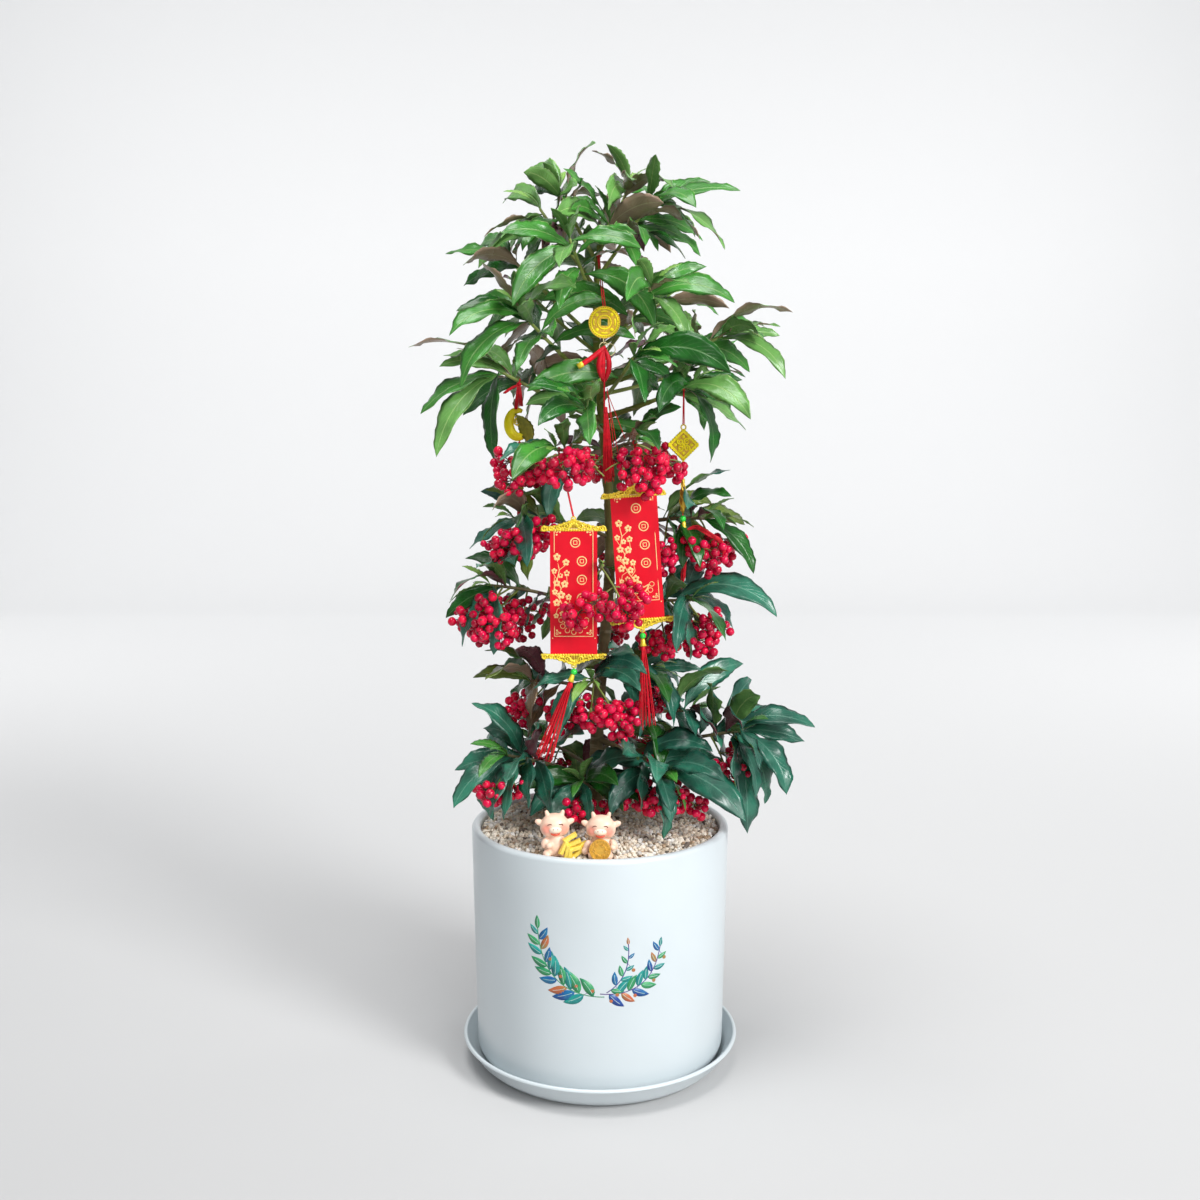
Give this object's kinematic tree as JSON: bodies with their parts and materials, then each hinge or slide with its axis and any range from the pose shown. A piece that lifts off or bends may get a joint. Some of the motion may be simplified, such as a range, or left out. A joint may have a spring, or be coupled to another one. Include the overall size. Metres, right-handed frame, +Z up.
{
  "type": "potted coral ardisia",
  "caption": "Slender potted shrub with a leafy crown above tiers of red berries, in a round ceramic pot and saucer, dressed with hanging scrolls, a coin, charms and calf figures.",
  "frame": {"origin": "centre of the saucer's flat underside", "axes": "+Z up along the plant, the front with the ornaments towards -Y"},
  "size_m": [0.3867, 0.3283, 0.901],
  "materials": {
    "glaze": "satin glaze",
    "gravel": "matte",
    "bark": "matte",
    "crown_leaves": "satin leaf",
    "fruiting_sprays": "glossy berries, satin leaves",
    "base_leaves": "satin leaf",
    "scroll_cloth": "flocked cloth with gilt bars",
    "gilt": "gilt, with red cord",
    "figure_enamel": "satin enamel"
  },
  "bodies": {
    "root": {"pot": "glaze", "saucer": "glaze", "soil": "gravel", "trunk": "bark", "bough_crown_left": "bark", "bough_crown_left_low": "bark", "bough_crown_right": "bark", "bough_crown_right_low": "bark", "bough_tier1_left": "bark", "bough_tier1_right": "bark", "bough_tier2_right": "bark", "bough_base_right_front": "bark", "bough_base_right": "bark", "scroll_left": "scroll_cloth", "scroll_right": "scroll_cloth", "coin_charm": "gilt", "bow_charm": "gilt", "plaque_charm": "gilt", "calf_left": "figure_enamel", "calf_right": "figure_enamel", "crown_apex": "crown_leaves", "crown_high_left": "crown_leaves", "crown_high_right": "crown_leaves", "crown_upper_right": "crown_leaves", "crown_upper_left": "crown_leaves", "crown_front_high": "crown_leaves", "crown_left_mid": "crown_leaves", "crown_left": "crown_leaves", "crown_left_low": "crown_leaves", "crown_front_low": "crown_leaves", "crown_right_front": "crown_leaves", "crown_right_mid": "crown_leaves", "crown_right": "crown_leaves", "crown_right_low": "crown_leaves", "crown_back_left": "crown_leaves", "crown_back_right": "crown_leaves", "crown_back_high": "crown_leaves", "crown_back_low": "crown_leaves", "crown_back_left_low": "crown_leaves", "crown_back_right_low": "crown_leaves", "tier1_left": "fruiting_sprays", "tier1_right": "fruiting_sprays", "tier1_back": "fruiting_sprays", "tier2_left": "fruiting_sprays", "tier2_right": "fruiting_sprays", "tier2_back": "fruiting_sprays", "tier3_left": "fruiting_sprays", "tier3_front": "fruiting_sprays", "tier3_right": "fruiting_sprays", "tier3_back": "fruiting_sprays", "tier4_left": "fruiting_sprays", "tier4_front": "fruiting_sprays", "tier4_right": "fruiting_sprays", "base_left": "base_leaves", "base_front": "base_leaves", "base_right_front": "base_leaves", "base_right": "base_leaves", "base_right_high": "base_leaves", "base_back_left": "base_leaves", "base_back_right": "base_leaves"}
  },
  "joints": []
}
